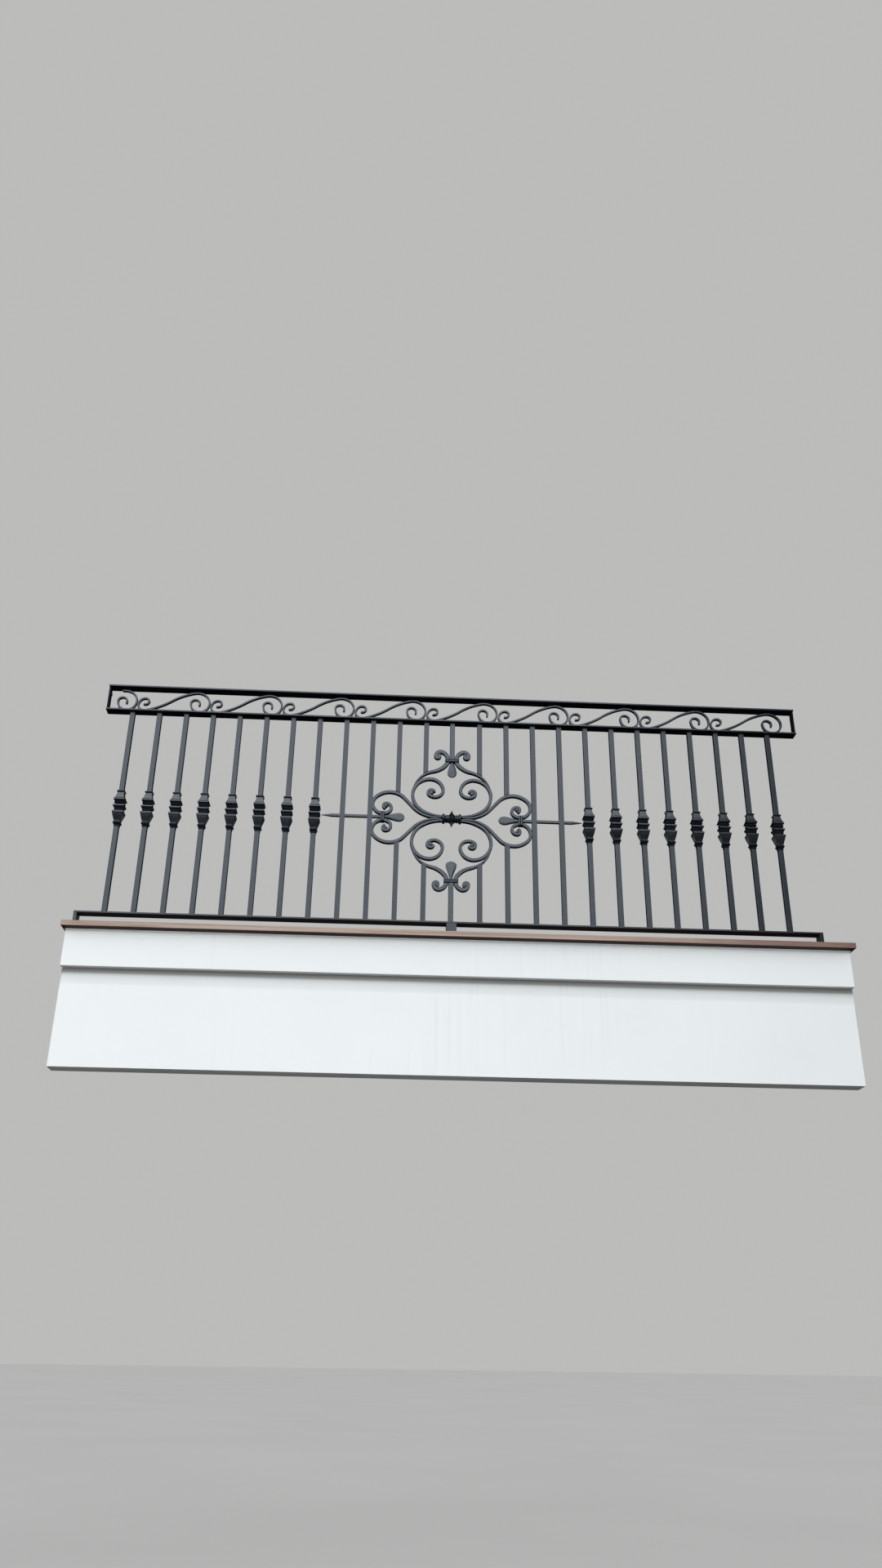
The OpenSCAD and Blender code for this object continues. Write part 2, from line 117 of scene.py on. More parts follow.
# Node helpers for the materials
class Shade:
    def __init__(self, name):
        self.mat = bpy.data.materials.new(name)
        self.mat.use_nodes = True
        self.tree = self.mat.node_tree
        self.bsdf = self.tree.nodes["Principled BSDF"]
        self.coord = self.tree.nodes.new("ShaderNodeTexCoord").outputs["Object"]

    def node(self, kind, **props):
        n = self.tree.nodes.new(kind)
        for key, value in props.items():
            setattr(n, key, value)
        return n

    def put(self, socket, value):
        if isinstance(value, bpy.types.NodeSocket):
            self.tree.links.new(value, socket)
        else:
            socket.default_value = value

    def scaled(self, scale):
        n = self.node("ShaderNodeMapping")
        self.put(n.inputs["Vector"], self.coord)
        n.inputs["Scale"].default_value = scale
        return n.outputs["Vector"]

    def noise(self, scale, detail=3.0, rough=0.5, vector=None, distortion=0.0):
        n = self.node("ShaderNodeTexNoise")
        self.put(n.inputs["Vector"], vector or self.coord)
        n.inputs["Scale"].default_value = scale
        n.inputs["Detail"].default_value = detail
        n.inputs["Roughness"].default_value = rough
        n.inputs["Distortion"].default_value = distortion
        return n.outputs["Fac"]

    def ramp(self, fac, *stops):
        n = self.node("ShaderNodeValToRGB")
        self.put(n.inputs["Fac"], fac)
        e = n.color_ramp.elements
        while len(e) < len(stops):
            e.new(0.5)
        for i, (pos, colour) in enumerate(stops):
            rgb = colour if isinstance(colour, tuple) else (colour, colour, colour)
            e[i].position = pos
            e[i].color = (*rgb, 1)
        return n.outputs["Color"]

    def fit(self, value, low, high, to_low=0.0, to_high=1.0):
        n = self.node("ShaderNodeMapRange")
        for key, v in zip(("Value", "From Min", "From Max", "To Min", "To Max"),
                          (value, low, high, to_low, to_high)):
            self.put(n.inputs[key], v)
        return n.outputs["Result"]

    def math(self, op, a, b):
        n = self.node("ShaderNodeMath", operation=op)
        self.put(n.inputs[0], a)
        self.put(n.inputs[1], b)
        return n.outputs[0]

    def mix(self, fac, a, b):
        n = self.node("ShaderNodeMix", data_type="RGBA")
        self.put(n.inputs["Factor"], fac)
        for key, v in (("A", a), ("B", b)):
            s = [i for i in n.inputs if i.name == key and i.type == "RGBA"][0]
            self.put(s, (*v, 1) if isinstance(v, tuple) else v)
        return [o for o in n.outputs if o.type == "RGBA"][0]

    def axis(self, name, source=None):
        n = self.node("ShaderNodeSeparateXYZ")
        self.put(n.inputs[0], source or self.coord)
        return n.outputs[name]

    def facing(self, name):
        return self.axis(name, self.node("ShaderNodeNewGeometry").outputs["Normal"])

    def bump(self, height, strength, distance, under=None):
        n = self.node("ShaderNodeBump")
        n.inputs["Strength"].default_value = strength
        n.inputs["Distance"].default_value = distance
        self.put(n.inputs["Height"], height)
        if under:
            self.put(n.inputs["Normal"], under)
        return n.outputs["Normal"]

    def finish(self, colour, roughness, normal, **uniform):
        self.put(self.bsdf.inputs["Base Color"], colour)
        self.put(self.bsdf.inputs["Roughness"], roughness)
        self.put(self.bsdf.inputs["Normal"], normal)
        for key, value in uniform.items():
            self.bsdf.inputs[key.replace("_", " ")].default_value = value
        return self.mat


# Satin charcoal paint on steel, with dust on top, worn specks, and painted shade that darkens
# the undersides
STEEL_DUST, STEEL_SPECK = (0.150, 0.142, 0.130), (0.085, 0.088, 0.092)
STEEL_UNDERSIDE_SHADE = (0.0022, 0.0022, 0.0042)


# The strength of hammer marks and cast grain, two tones, specular level and clear coat
def steel(name, hammer, cast, dark, light, shine, coat):
    s = Shade(name)
    cloud = s.noise(7.0, 4.0, 0.6)
    fine = s.noise(180.0, 3.0, 0.55)
    peel = s.noise(900.0, 2.0, 0.5)
    tone = s.ramp(cloud, (0.30, dark), (0.72, light))
    dust = s.math("MULTIPLY", s.fit(s.facing("Z"), 0.55, 1.0, 0.0, 0.34),
                  s.fit(s.noise(24.0, 4.0, 0.65), 0.30, 0.75))
    tone = s.mix(dust, tone, STEEL_DUST)
    speck = s.fit(s.noise(420.0, 2.0, 0.5), 0.66, 0.74)
    tone = s.mix(s.math("MULTIPLY", speck, 0.22), tone, STEEL_SPECK)
    rough = s.math("ADD", s.fit(cloud, 0.3, 0.7, 0.26, 0.34),
                   s.fit(fine, 0.3, 0.7, -0.03, 0.05))
    rough = s.math("ADD", rough, s.math("MULTIPLY", dust, 0.5))
    rough = s.math("MAXIMUM", rough, s.fit(s.facing("Z"), -0.92, -0.45, 0.90, 0.0))
    # Painted shade: faces that look down are darkened towards near black
    tone = s.mix(s.fit(s.facing("Z"), -0.85, -0.25, 0.88, 0.0), tone, STEEL_UNDERSIDE_SHADE)
    n = s.bump(peel, 0.10, 0.0004)
    n = s.bump(fine, cast, 0.0008, n)
    n = s.bump(s.noise(38.0, 2.0, 0.5), hammer, 0.003, n)
    return s.finish(tone, rough, n, Specular_IOR_Level=shine, Coat_Weight=coat,
                    Coat_Roughness=0.22)


DRAWN = steel("black_steel_drawn", hammer=0.10, cast=0.10, dark=(0.009, 0.012, 0.017),
              light=(0.015, 0.019, 0.026), shine=0.58, coat=0.0)
FORGED = steel("black_steel_forged", hammer=0.42, cast=0.25, dark=(0.010, 0.014, 0.021),
               light=(0.018, 0.024, 0.034), shine=0.60, coat=0.14)
CAST = steel("black_steel_cast", hammer=0.16, cast=0.26, dark=(0.006, 0.008, 0.011),
             light=(0.012, 0.015, 0.020), shine=0.66, coat=0.15)
# Darker steel with almost no specular level, a painted shade for the end bars of the frieze
# and the recesses of the knuckles
SHADED_STEEL = steel("black_steel_shaded", hammer=0.10, cast=0.10, dark=(0.005, 0.006, 0.009),
             light=(0.008, 0.010, 0.014), shine=0.05, coat=0.0)

# Painted shadow below the ledge of the fascia: its height in metres and strength by share of
# that
PAINTED_SHADOW_H = 0.060
PAINTED_SHADOW_STOPS = ((0.0, 0.0), (0.15, 0.09), (0.37, 0.144), (0.52, 0.22), (0.62, 0.343),
        (0.667, 0.454), (0.722, 0.675), (0.773, 0.81), (0.933, 0.875), (1.0, 0.84))
PAINTED_SHADOW_TONE = (0.085, 0.082, 0.072)


# White exterior paint on boards, with faint drips down the face, a painted shadow below the
# ledge of the band and painted shade on the undersides at and just below it
def white_paint():
    s = Shade("white_board")
    broad = s.noise(1.7, 3.0, 0.5)
    tone = s.ramp(broad, (0.30, (0.865, 0.880, 0.876)), (0.72, (0.895, 0.910, 0.906)))
    drip = s.noise(1.0, 3.0, 0.6, s.scaled((95, 95, 1.6)))
    patch = s.fit(s.noise(1.0, 2.0, 0.5, s.scaled((3.2, 3.2, 1.6))), 0.48, 0.66)
    drip = s.math("MULTIPLY", s.fit(drip, 0.52, 0.70, 0.0, 0.20), patch)
    middle = s.fit(s.math("ABSOLUTE", s.axis("X"), 0.0), 1.05, 0.75)
    tone = s.mix(s.math("MULTIPLY", drip, middle), tone, (0.640, 0.630, 0.590))
    grime = s.fit(s.noise(5.0, 5.0, 0.7), 0.58, 0.80, 0.0, 0.10)
    tone = s.mix(grime, tone, (0.60, 0.59, 0.55))
    # Painted shadow on the faces below the ledge, darkest right under it
    z = s.axis("Z")
    shadow_mask = s.ramp(s.fit(z, LEDGE - PAINTED_SHADOW_H, LEDGE), *PAINTED_SHADOW_STOPS)
    shadow_mask = s.math("MULTIPLY", shadow_mask, s.fit(z, LEDGE + 0.0015, LEDGE + 0.0002))
    shadow_mask = s.math("MULTIPLY", shadow_mask, s.fit(s.facing("Z"), -0.8, -0.3))
    # Painted shade on the undersides at and just below the ledge
    underside_shade = s.fit(s.facing("Z"), -0.5, -0.9, 0.0, 0.26)
    underside_shade = s.math("MULTIPLY", underside_shade, s.fit(z, LEDGE - 0.05, LEDGE - 0.01))
    tone = s.mix(s.math("MAXIMUM", shadow_mask, underside_shade), tone, PAINTED_SHADOW_TONE)
    rough = s.fit(s.noise(22.0, 3.0, 0.5), 0.3, 0.7, 0.42, 0.56)
    n = s.bump(s.noise(1.0, 3.0, 0.55, s.scaled((14, 420, 420))), 0.10, 0.0006)
    n = s.bump(s.noise(520.0, 2.0, 0.5), 0.08, 0.0005, n)
    n = s.bump(s.noise(2.4, 2.0, 0.5), 0.12, 0.004, n)
    return s.finish(tone, rough, n, Specular_IOR_Level=0.4)


WHITE = white_paint()


# Reddish hardwood, silvered on the weathered front edge, with painted shade underneath
def hardwood():
    s = Shade("hardwood")
    grain = s.noise(1.0, 6.0, 0.62, s.scaled((2.2, 90, 130)), 0.8)
    pores = s.noise(1.0, 2.0, 0.5, s.scaled((40, 900, 900)))
    fresh = s.ramp(grain, (0.28, (0.070, 0.030, 0.023)), (0.55, (0.165, 0.080, 0.062)),
                   (0.78, (0.250, 0.138, 0.105)))
    silver = s.ramp(grain, (0.25, (0.320, 0.225, 0.180)), (0.50, (0.465, 0.358, 0.300)),
                    (0.80, (0.545, 0.440, 0.375)))
    along = s.fit(s.axis("X"), 0.45, 1.35, 1.0, 0.20)
    blotch = s.fit(s.noise(1.0, 4.0, 0.6, s.scaled((2.6, 16, 16))), 0.30, 0.70, -0.25, 0.25)
    out = s.fit(s.facing("Z"), -0.6, -0.1)
    weather = s.math("MULTIPLY", s.fit(s.math("ADD", along, blotch), 0.0, 1.0), out)
    tone = s.mix(weather, fresh, silver)
    tone = s.mix(s.fit(pores, 0.60, 0.75, 0.0, 0.45), tone, (0.055, 0.028, 0.022))
    # Painted shade: the undersides are darkened to a deep brown
    under = s.fit(s.facing("Z"), -0.95, -0.7, 0.97, 0.0)
    tone = s.mix(under, tone, (0.026, 0.009, 0.006))
    rough = s.fit(grain, 0.3, 0.7, 0.72, 0.58)
    n = s.bump(grain, 0.30, 0.0012)
    n = s.bump(pores, 0.20, 0.0005, n)
    return s.finish(tone, rough, n, Specular_IOR_Level=0.12)


HARDWOOD = hardwood()

# Thickness in metres of the layers of the header behind the boards
LAYER = 0.0375


# Layered softwood, each layer with a grain of its own
def softwood():
    s = Shade("framing_timber")
    ply = s.math("FLOOR", s.math("MULTIPLY", s.axis("Z"), 1 / LAYER), 0.0)
    shift = s.node("ShaderNodeCombineXYZ")
    s.put(shift.inputs[0], s.math("MULTIPLY", ply, 3.7))
    s.put(shift.inputs[1], s.math("MULTIPLY", ply, 1.3))
    moved = s.node("ShaderNodeVectorMath", operation="ADD")
    s.put(moved.inputs[0], s.scaled((1.8, 60, 60)))
    s.put(moved.inputs[1], shift.outputs[0])
    grain = s.noise(1.0, 5.0, 0.6, moved.outputs[0], 1.2)
    tone = s.ramp(grain, (0.28, (0.360, 0.215, 0.105)), (0.52, (0.560, 0.385, 0.215)),
                  (0.75, (0.660, 0.490, 0.300)))
    stain = s.fit(s.noise(2.0, 5.0, 0.7), 0.50, 0.78, 0.0, 0.5)
    tone = s.mix(stain, tone, (0.300, 0.225, 0.150))
    rough = s.fit(grain, 0.3, 0.7, 0.78, 0.62)
    n = s.bump(grain, 0.35, 0.0012)
    return s.finish(tone, rough, n, Specular_IOR_Level=0.25)


SOFTWOOD = softwood()


# Mesh helpers, all in millimetres
def weigh_normals(ob):
    w = ob.modifiers.new("weighted", "WEIGHTED_NORMAL")
    w.keep_sharp = True


# One visible piece from lofts, smooth but for edges sharper than the angle in degrees
def piece(name, parts, material, replaced=(), sharp=38):
    mesh = bpy.data.meshes.new(name)
    verts, faces = [], []
    for v, f in parts:
        k = len(verts)
        verts += [(x / MM, y / MM, z / MM) for x, y, z in v]
        faces += [[i + k for i in face] for face in f]
    mesh.from_pydata(verts, [], faces)
    bm = bmesh.new()
    bm.from_mesh(mesh)
    bmesh.ops.recalc_face_normals(bm, faces=bm.faces)
    for f in bm.faces:
        f.smooth = True
    for e in bm.edges:
        e.smooth = e.is_manifold and e.calc_face_angle(0) < math.radians(sharp)
    bm.to_mesh(mesh)
    bm.free()
    ob = bpy.data.objects.new(name, mesh)
    SCENE.collection.objects.link(ob)
    mesh.materials.append(material)
    weigh_normals(ob)
    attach(ob, "root")
    if replaced:
        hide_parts(*replaced)
    return ob


# Closed skin over loops of the same number of points, sides first and then both ends
def loft(loops):
    n = len(loops[0])
    verts = [p for loop in loops for p in loop]
    faces = [(i * n + j, i * n + (j + 1) % n, (i + 1) * n + (j + 1) % n, (i + 1) * n + j)
             for i in range(len(loops) - 1) for j in range(n)]
    faces += [list(range(n))[::-1], list(range((len(loops) - 1) * n, len(loops) * n))]
    return verts, faces


# Rectangle with rounded corners
def section(w, d, r, corner=4):
    a, b = w / 2, d / 2
    r = max(0.05, min(r, a * 0.96, b * 0.96))
    out = []
    for sx, sy, start in ((1, 1, 0), (-1, 1, 90), (-1, -1, 180), (1, -1, 270)):
        for k in range(corner):
            t = math.radians(start + 90 * k / (corner - 1))
            out.append((sx * (a - r) + r * math.cos(t), sy * (b - r) + r * math.sin(t)))
    return out


def circle(r, sides):
    return [(r * math.cos(2 * math.pi * k / sides), r * math.sin(2 * math.pi * k / sides))
            for k in range(sides)]


# A scroll is a chain of arcs: radius, sweep and bar width at the end of each
C_ROWS = [(139, 30, 11), (77.5, 58, 12), (66.5, 86, 12), (49, 87, 12), (27.5, 61, 11),
          (33, 77, 11), (12.5, 200, 10)]
LOBE_ROWS = [(114, 58.7, 11), (1950, -1.4, 12), (73.5, -92.2, 12), (39, -168, 12),
             (19, -150, 11), (10.5, -150, 9)]
CREST_ROWS = [(99.5, 75, 11.5), (87.5, -36.7, 15.5), (35, -107, 14.5), (18.7, -118, 13),
              (8.4, -224, 9)]
FRIEZE_ROWS = [(14.5, 200, 1), (23, 50, 1), (38, 33, 1), (26.5, 114, 1), (316, 19.85, 1),
               (227.5, -23.85, 1), (48.8, -137.8, 1), (34.5, -128, 1), (64, -15, 1),
               (17.5, -183, 1), (60, -9, 1)]

# Where each chain starts: x, z, bar width and heading in degrees
C_START = (37.4, 10, 6, -0.2)
LOBE_START = (38.1, 5.4, 6, -10)
CREST_START = (147.3, 100, 2, 91.8)
FRIEZE_FIRST = (25.1, 27.8, 1, -20)


def arc_path(start, rows, step=2.2):
    x, z, w, degrees = start
    heading = math.radians(degrees)
    out = [(x, z, w, heading)]
    for radius, sweep, w_end in rows:
        n = max(3, math.ceil(radius * math.radians(abs(sweep)) / step))
        d = math.radians(sweep) / n
        dw = (w_end - w) / n
        for _ in range(n):
            chord = 2 * radius * math.sin(abs(d) / 2)
            x += chord * math.cos(heading + d / 2)
            z += chord * math.sin(heading + d / 2)
            heading += d
            w += dw
            out.append((x, z, w, heading))
    return out


# The C scrolls and lobes begin inside the hub, at this way from its middle
LEAD = HUB_L / 2 - 2
c_path = [(LEAD, 10, 6, 0)] + arc_path(C_START, C_ROWS)
lobe_path = [(LEAD, 5.9, 6, 0)] + arc_path(LOBE_START, LOBE_ROWS)
crest_path = arc_path(CREST_START, CREST_ROWS)
frieze_path = arc_path(FRIEZE_FIRST, FRIEZE_ROWS, 1.8)

# Loops of the rounded tip of a scroll bar, in degrees, and how much thinner it gets
TIP_ANGLES, TIP_THIN = (18, 36, 54, 68, 80), 3.0


# Bar swept along a path that is scaled by sx and sz, with a rounded tip
def swept(path, place, depth, radius=1.8, sx=1.0, sz=1.0):
    rows = []
    for x, z, w, h in path:
        t = Vector((math.cos(h) * sx, math.sin(h) * sz)).normalized()
        rows.append((x * sx, z * sz, w, depth, t))
    x, z, w, d, t = rows[-1]
    for a in TIP_ANGLES:
        c, s = math.cos(math.radians(a)), math.sin(math.radians(a))
        rows.append((x + t.x * w / 2 * s, z + t.y * w / 2 * s, w * c,
                     d - TIP_THIN * (1 - c), t))
    loops = []
    for x, z, w, d, t in rows:
        loops.append([(place[0] + x - t.y * a, place[1] + b, place[2] + z + t.x * a)
                      for a, b in section(w, d, radius)])
    return loft(loops)


# Half the profile of an eye: share of its half depth and of its radius
EYE_HALF = ((1, 0.30), (0.97, 0.55), (0.90, 0.78), (0.78, 0.93), (0.62, 1.0))
EYE_SIDES = 24


# Rounded eye that closes a volute, at the given radius beside the end of its path
def eye(path, radius, size, depth, s, t):
    x, z, w, h = path[-1]
    cx, cz = (x - radius * math.sin(h)) * s, (z + radius * math.cos(h)) * t
    profile = [(-y, r) for y, r in EYE_HALF] + list(reversed(EYE_HALF))
    return loft([[(MID_X + cx + a, BAR_Y + y * depth / 2, MID_Z + cz + b)
                  for a, b in circle(size * r, EYE_SIDES)] for y, r in profile])


def scroll(name, path, radius, size, depth, sides, node):
    parts = []
    for s, t in sides:
        parts += [swept(path, MID, depth, sx=s, sz=t), eye(path, radius, size, depth, s, t)]
    piece(name, parts, FORGED, [node])


for side, half in (("upper", UPPER), ("lower", -LOWER)):
    pair = ((-1, half), (1, half))
    scroll("scroll_c_" + side, c_path, 12.5, EYE_R + 1.5, SCROLL_D, pair,
           "c_scrolls_" + side)
    scroll("scroll_crest_" + side, crest_path, -8, EYE_R, SCROLL_D - 0.8, pair,
           "crest_scrolls_" + side)
for side, s in (("left", -1), ("right", 1)):
    scroll("scroll_lobe_" + side, lobe_path, -10.5, EYE_R, SCROLL_D - 0.4,
           ((s, -1), (s, 1)), "lobe_scrolls_" + side)

# Scrolls of the frieze, and the share of the first one that is left out
FRIEZE_COUNT, FRIEZE_CUT = 10, 0.775


# Running scroll between the two upper rails, the last one drawn a little longer
def frieze():
    xs, zs = [p[0] for p in frieze_path], [p[1] for p in frieze_path]
    height = TOP_UNDER - FRIEZE_TOP - FRIEZE_AIR
    sz = (height - FRIEZE_T) / (max(zs) - min(zs))
    x0 = RAIL_LEFT + FRIEZE_START
    half = FRIEZE_COUNT // 2
    for side, span in (("left", range(half)), ("right", range(half, FRIEZE_COUNT))):
        parts = []
        for i in span:
            extra = FRIEZE_EXTRA if i == FRIEZE_COUNT - 1 else 0
            sx = (FRIEZE_PITCH + extra - FRIEZE_T) / (max(xs) - min(xs))
            path = [(x - min(xs) + FRIEZE_T / 2 / sx, z - min(zs) + FRIEZE_T / 2 / sz,
                     FRIEZE_T, h) for x, z, _, h in frieze_path]
            if i == 0:
                path = path[next(j for j, p in enumerate(path)
                                 if p[0] * sx > FRIEZE_CUT * FRIEZE_PITCH):]
            parts.append(swept(path, (x0 + (i - 1) * FRIEZE_PITCH, BAR_Y, FRIEZE_TOP),
                               FRIEZE_D, 1.2, sx, sz))
        piece("frieze_curls_" + side, parts, FORGED,
              ["frieze_scrolls_" + side])


frieze()

# Profile of a cast knuckle: way down from its top, inset from the flanges, corner radius
KNUCKLE_ROWS = (
    (0, 7.4, 1.2), (0.8, 6.0, 1.5), (1.8, 5.9, 1.5), (4.0, 7.2, 1.5), (7.0, 8.7, 1.5),
    (9, 8.8, 1.6), (13, 8.1, 1.8), (18, 7.2, 2.0), (23, 5.8, 2.2), (28, 3.9, 2.4),
    (32, 2.0, 2.0), (34.6, 0.8, 1.4), (35.6, 0.1, 1.0), (38.4, 0, 1.0), (39.0, 0.6, 1.2),
    (39.8, 2.4, 1.5), (41.2, 3.6, 1.5), (43.5, 4.4, 1.5), (46, 5.2, 1.5), (47.2, 3.5, 1.6),
    (48.2, 3.0, 1.6), (51, 3.6, 1.6), (53.4, 4.6, 1.6), (55, 5.6, 1.5), (58.3, 5.8, 1.5),
    (59.2, 0.6, 1.2), (60, 0, 1.0), (64.2, 0, 1.0), (65, 0.8, 1.2), (66.2, 2.6, 1.5),
    (69.4, 4.0, 1.5), (75, 5.2, 1.5), (82.6, 6.0, 1.5), (83.6, 0.6, 1.2), (84.5, 0, 1.0),
    (89.5, 0, 1.0), (90.2, 0.4, 1.2), (91.2, 1.0, 1.6), (95, 1.7, 2.2), (100, 2.9, 2.4),
    (106, 4.6, 2.4), (112, 6.5, 2.2), (117, 8.1, 2.0), (121.5, 9.2, 1.8), (123.6, 9.2, 1.6),
    (125.0, 7.2, 1.5), (126.2, 6.8, 1.5), (130, 7.2, 1.5), (132.8, 8.6, 1.5),
    (134.5, 10.2, 1.4), (135.6, 11.0, 1.2), (142, 11.1, 1.2))

# Recesses under the flanges and the collar, which take the darker steel as painted shade
KNUCKLE_SHADED = ((38.4, 59), (64.2, 83.4), (123, KNUCKLE_H))


# Cast knuckles, square in plan, in a row that falls a little from left to right
def knuckles(name, columns, node):
    h, w = KNUCKLE_H / 2, KNUCKLE_W / 2
    parts = []
    for i in columns:
        mid = MID_Z - KNUCKLE_DROP - KNUCKLE_FALL * i / 24
        parts.append(loft([[(i * PITCH + a, BAR_Y + b, mid + (h - down))
                            for a, b in section(2 * (w - inset), 2 * (w - inset), r)]
                           for down, inset, r in KNUCKLE_ROWS]))
    ob = piece(name, parts, CAST, [node], 30)
    # The second material paints shade into the recesses
    ob.data.materials.append(SHADED_STEEL)
    shaded_rows = [k for k, row in enumerate(KNUCKLE_ROWS[:-1])
            if any(a <= row[0] < b for a, b in KNUCKLE_SHADED)]
    ring = len(section(1, 1, 1))
    first = 0
    for verts, faces in parts:
        for k in shaded_rows:
            for face in ob.data.polygons[first + k * ring:first + (k + 1) * ring]:
                face.material_index = 1
        first += len(faces)


knuckles("knuckle_castings_left", range(-12, -4), "knuckles_left")
knuckles("knuckle_castings_right", range(5, 13), "knuckles_right")

# Profile of half the hub: way in from its end, radius
HUB_ROWS = ((0, 4), (0, 15.6), (0.8, 17), (2, 18.6), (4, 19.6), (6.4, 19.6), (8.2, 18.4),
            (9.2, 16.4), (10.2, 14.4), (12.4, 13.4), (14.4, 13.8), (15.2, 15.6),
            (16.6, 16.6), (18, 15.8), (18.8, 14.0), (21, 13.6), (24, 14.8), (27, 17.4),
            (30, 21.4), (32.4, 26.4))
HUB_SIDES = 40


# Turned collar in the middle, on the cross axis, with a pointed disc
def hub():
    half = [(HUB_L / 2 - x, r) for x, r in HUB_ROWS] + [(1.0, HUB_R - 1.0), (0.3, HUB_R)]
    profile = half + [(-x, r) for x, r in reversed(half)]
    loops = [[(MID_X + x, BAR_Y + a, MID_Z + b) for a, b in circle(r, HUB_SIDES)]
             for x, r in profile]
    piece("hub_collar", [loft(loops)], CAST, ["medallion_hub"], 42)


hub()

STRAP_STEPS = 14


# Strap collar: two rounded beads bent round the bars
def strap(centre, w, d, along_x):
    loops = []
    half = STRAP_L / 2
    for i in range(STRAP_STEPS + 1):
        t = -half + STRAP_L * i / STRAP_STEPS
        bead = abs(math.sin(math.pi * (t + half) / half)) ** 0.6
        o = STRAP_T * (0.45 + 0.55 * bead)
        ring = section(w + 2 * o, d + 2 * o, 1.2 + o)
        if along_x:
            loops.append([(centre[0] + t, centre[1] + b, centre[2] + a) for a, b in ring])
        else:
            loops.append([(centre[0] + a, centre[1] + b, centre[2] + t) for a, b in ring])
    return loft(loops)


for side, x, z, grip, along_x in (("upper", 0, UPPER_STRAP, CREST_GRIP, False),
                                  ("lower", 0, LOWER_STRAP, CREST_GRIP, False),
                                  ("left", -SIDE_STRAP, 0, LOBE_GRIP, True),
                                  ("right", SIDE_STRAP, 0, LOBE_GRIP, True)):
    piece("strap_" + side, [strap((MID_X + x, BAR_Y, MID_Z + z), grip, BAR, along_x)],
          FORGED, ["strap_collar_" + side], 50)

# Leaves: length, width, where they are widest and how blunt they are
UPPER_LEAF, LOWER_LEAF, SIDE_LEAF = (65, 34, 2.1, 0.5), (73, 40, 2.8, 0.5), (78, 34, 2.3, 0.52)
LEAF_STEPS = 22

# Points across a leaf as a share of its half width, with its midrib in the middle
LEAF_ACROSS = (1, 0.72, 0.34, 0, -0.34, -0.72, -1)


# Loops of a forged leaf: way along it and the ring of points there
def leaf_loops(length, width, full, blunt):
    out = []
    for i in range(LEAF_STEPS + 1):
        t = i / LEAF_STEPS
        w = 4.5 * (1 - t) ** 2 + width / 2 * max(math.sin(math.pi * t ** full), 0.0) ** blunt
        w = max(w, 0.8)
        thick = (SPEAR / 2 * (1 - t) + LEAF_T / 2 * t) * (1 - 0.45 * t ** 3)
        rim = min(thick, 1.6 + 2.6 * (1 - t) ** 2)
        ring = []
        for a in LEAF_ACROSS:
            groove = 0.5 if a == 0 and 0.3 < t < 0.95 else 0
            b = rim if abs(a) == 1 else thick * (1 - 0.20 * abs(a)) - groove
            ring.append((a * w, b))
        ring += [(a, -b) for a, b in reversed(ring)]
        out.append((t * length, ring))
    return out


# Loops of a square upright with eased ends
def bar_loops(z0, z1, w, ease=1.0, r=1.4):
    full, less = section(w, w, r), section(w - 2 * ease, w - 2 * ease, r)
    return [(z0, less), (z0 + ease, full), (z1 - ease, full), (z1, less)]


# How far a leaf reaches into its strap collar
LEAF_SEAT = 3

for side, level, z1, leaf in (("upper", UPPER_STRAP, FRIEZE_BOTTOM, UPPER_LEAF),
                              ("lower", LOWER_STRAP, BOTTOM_TOP, LOWER_LEAF)):
    sign = 1 if level > 0 else -1
    z0 = MID_Z + level - sign * STRAP_L / 2
    parts = [[[(MID_X + a, BAR_Y + b, z) for a, b in ring]
              for z, ring in bar_loops(min(z0, z1), max(z0, z1), BAR)],
             [[(MID_X + a, BAR_Y + b, z0 + sign * (LEAF_SEAT - t)) for a, b in ring]
              for t, ring in leaf_loops(*leaf)]]
    piece("leaf_bar_" + side, [loft(p) for p in parts], FORGED,
          ["leaf_picket_" + side])

# Where the cross spears begin and end their drawn point, and the steps of that taper
POINT_FROM, POINT_TO = 4.36 * PITCH, 4.76 * PITCH
POINT_STEPS = (0, 0.12, 0.3, 0.5, 0.7, 0.88, 1.0)

for side, s in (("left", -1), ("right", 1)):
    x0 = SIDE_STRAP - STRAP_L / 2
    x1, x2 = POINT_FROM - s * MID_X, POINT_TO - s * MID_X
    rings = [(x0, SPEAR, 1.4)]
    for t in POINT_STEPS:
        rings.append((x1 + (x2 - x1) * t, SPEAR * (1 - t) ** 0.9 + 1.6 * t,
                      1.4 * (1 - t) + 0.6))
    parts = [[[(MID_X + s * x, BAR_Y + b, MID_Z + a) for a, b in section(w, w, r)]
              for x, w, r in rings],
             [[(MID_X + s * (x0 + LEAF_SEAT - t), BAR_Y + b, MID_Z + a) for a, b in ring]
              for t, ring in leaf_loops(*SIDE_LEAF)]]
    piece("leaf_cross_" + side, [loft(p) for p in parts], FORGED,
          ["leaf_spear_" + side])


# A node of the model that keeps its own shape: eased edges and a finish
def dress(name, material, ease, segments):
    ob = NODES[name]
    if ob.material_slots:
        for slot in ob.material_slots:
            slot.material = material
    else:
        ob.data.materials.append(material)
    weld = ob.modifiers.new("weld", "WELD")
    weld.merge_threshold = 0.00002
    flat = ob.modifiers.new("flat", "DECIMATE")
    flat.decimate_type = "DISSOLVE"
    flat.angle_limit = math.radians(0.5)
    bevel = ob.modifiers.new("ease", "BEVEL")
    bevel.width = ease / MM
    bevel.segments = segments
    bevel.limit_method = "ANGLE"
    bevel.angle_limit = math.radians(40)
    weigh_normals(ob)


